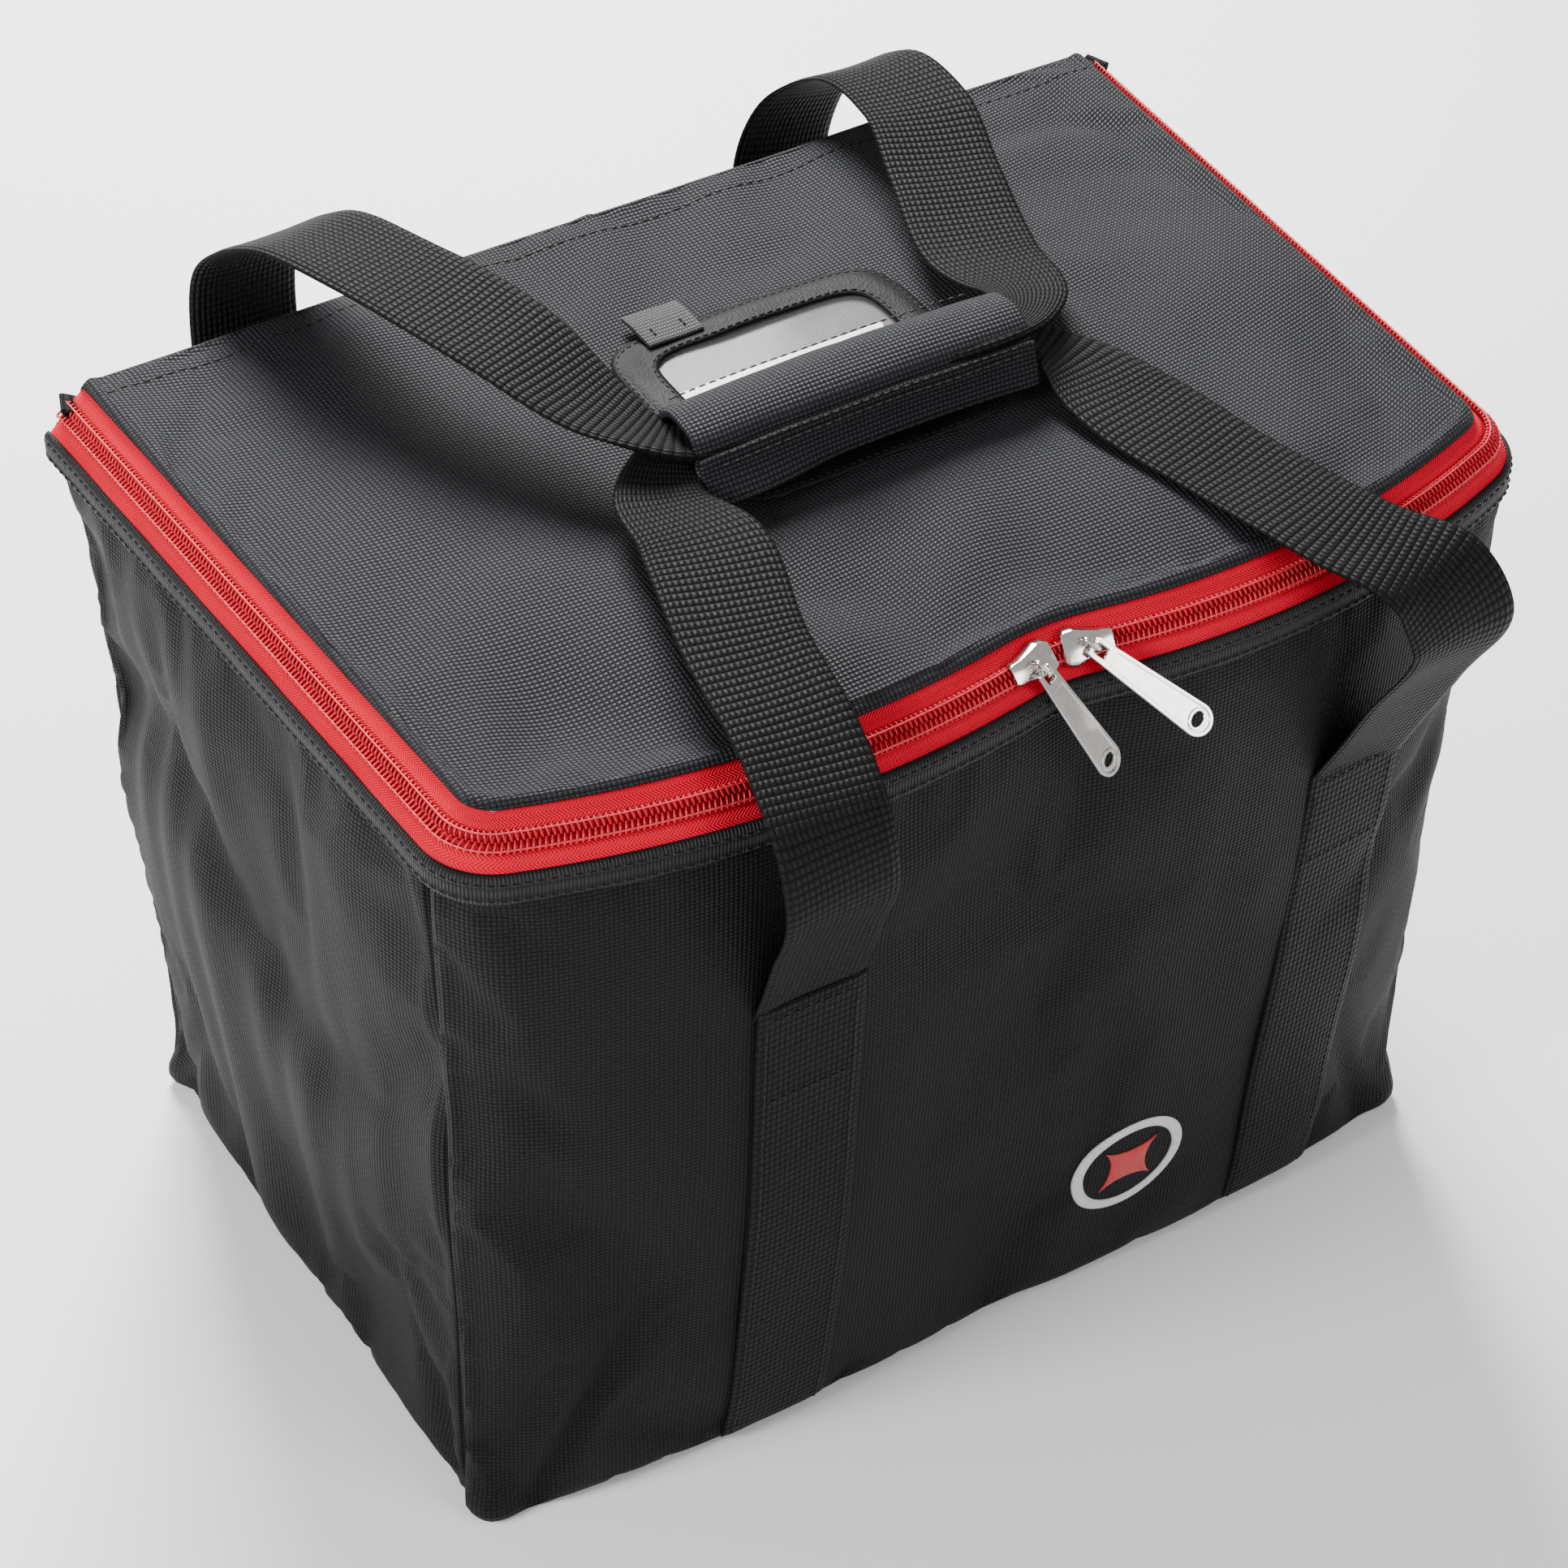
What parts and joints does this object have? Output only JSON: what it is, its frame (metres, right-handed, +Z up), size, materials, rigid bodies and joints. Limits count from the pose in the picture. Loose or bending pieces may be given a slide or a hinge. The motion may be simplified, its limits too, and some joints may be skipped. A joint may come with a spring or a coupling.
{
  "type": "soft carry bag",
  "caption": "Soft padded carry bag with a zipped lid, window pocket and webbing handles joined by a padded grip; it rests on its flat base.",
  "frame": {"origin": "middle of the base, on the floor", "axes": "+Z up, +X along the width, front towards -Y, lid hinges at +Y"},
  "size_m": [0.4052, 0.3285, 0.3515],
  "materials": {
    "ballistic_cloth": "coarse basket-weave polyester with a faint sheen",
    "padding_foam": "closed-cell sheet foam",
    "lining_cloth": "thin smooth nylon",
    "binding_tape": "ribbed woven tape",
    "zip_tape": "herringbone woven tape",
    "zip_coil": "satin nylon coil",
    "webbing": "heavy ribbed webbing",
    "nickel": "polished nickel plate",
    "frame_leatherette": "smooth synthetic leather",
    "clear_vinyl": "soft clear vinyl",
    "grey_webbing": "narrow woven tape",
    "card": "matt printed card",
    "hook_tape": "hook fastening tape",
    "loop_tape": "loop fastening tape",
    "embroidery": "satin-stitch embroidery"
  },
  "bodies": {
    "bag": {"front_panel": "ballistic_cloth", "back_panel": "ballistic_cloth", "left_side_panel": "ballistic_cloth", "right_side_panel": "ballistic_cloth", "bottom_panel": "ballistic_cloth", "front_foam": "padding_foam", "back_foam": "padding_foam", "left_side_foam": "padding_foam", "right_side_foam": "padding_foam", "bottom_foam": "padding_foam", "inner_lining": "lining_cloth", "rim_binding": "binding_tape", "zipper_tape_lower": "zip_tape", "zipper_coil_lower": "zip_coil", "zipper_end_tab_left": "binding_tape", "zipper_end_tab_right": "binding_tape", "front_webbing_left": "webbing", "front_webbing_right": "webbing", "rear_webbing_left": "webbing", "rear_webbing_right": "webbing", "lid_hinge_strip": "ballistic_cloth", "emblem": "embroidery"},
    "lid": {"lid_panel": "ballistic_cloth", "lid_foam": "padding_foam", "lid_lining": "lining_cloth", "zipper_tape_upper": "zip_tape", "zipper_coil_upper": "zip_coil", "window_frame": "frame_leatherette", "window_pane": "clear_vinyl", "window_pull_tab": "grey_webbing"},
    "slider_left": {"slider_left": "nickel"},
    "slider_right": {"slider_right": "nickel"},
    "pull_left": {"pull_left": "nickel"},
    "pull_right": {"pull_right": "nickel"},
    "front_handle": {"front_handle_strap": "webbing"},
    "rear_handle": {"rear_handle_strap": "webbing", "grip_wrap": "ballistic_cloth", "grip_loop_strip": "loop_tape"},
    "grip_flap": {"grip_flap": "ballistic_cloth", "grip_hook_strip": "hook_tape"},
    "name_card": {"name_card": "card"}
  },
  "joints": [
    {"name": "lid_hinge", "type": "hinge", "parent": "bag", "child": "lid", "pos_m": [0, 0.122, 0.303], "axis": [-1, 0, 0], "range_deg": [0, 105], "deforming": ["lid_hinge_strip"]},
    {"name": "front_handle_fold", "type": "hinge", "parent": "bag", "child": "front_handle", "pos_m": [0.018, -0.142, 0.216], "axis": [1, 0, 0], "range_deg": [0, 173.75], "deforming": ["front_handle_strap"]},
    {"name": "rear_handle_fold", "type": "hinge", "parent": "bag", "child": "rear_handle", "pos_m": [-0.017, 0.125, 0.216], "axis": [-1, 0, 0], "range_deg": [0, 173.75], "deforming": ["rear_handle_strap"]},
    {"name": "slider_left_travel", "type": "hinge", "parent": "lid", "child": "slider_left", "pos_m": [-0.06696, 0.18646, 0.303], "axis": [0, 0, -1], "range_deg": [0, 26.83]},
    {"name": "pull_left_swing", "type": "hinge", "parent": "slider_left", "child": "pull_left", "pos_m": [-0.00495, -0.13857, 0.30618], "axis": [-0.8435, -0.4537, -0.2876], "range_deg": [0, 100]},
    {"name": "slider_right_travel", "type": "hinge", "parent": "lid", "child": "slider_right", "pos_m": [0.07197, 0.16018, 0.303], "axis": [0, 0, 1], "range_deg": [0, 27.69]},
    {"name": "pull_right_swing", "type": "hinge", "parent": "slider_right", "child": "pull_right", "pos_m": [0.01308, -0.13767, 0.30717], "axis": [-0.7907, -0.3533, -0.5], "range_deg": [0, 100]},
    {"name": "grip_flap_open", "type": "hinge", "parent": "rear_handle", "child": "grip_flap", "pos_m": [0.002, -0.0335, 0.3285], "axis": [-1, 0, 0], "range_deg": [0, 100]},
    {"name": "name_card_slide", "type": "slide", "parent": "lid", "child": "name_card", "axis": [0, 1, 0], "range_m": [0, 0.085]}
  ],
  "couplings": [
    {"joint": "front_handle_fold", "follows": "lid_hinge", "ratio": 1.65},
    {"joint": "rear_handle_fold", "follows": "lid_hinge", "ratio": 1.65}
  ]
}
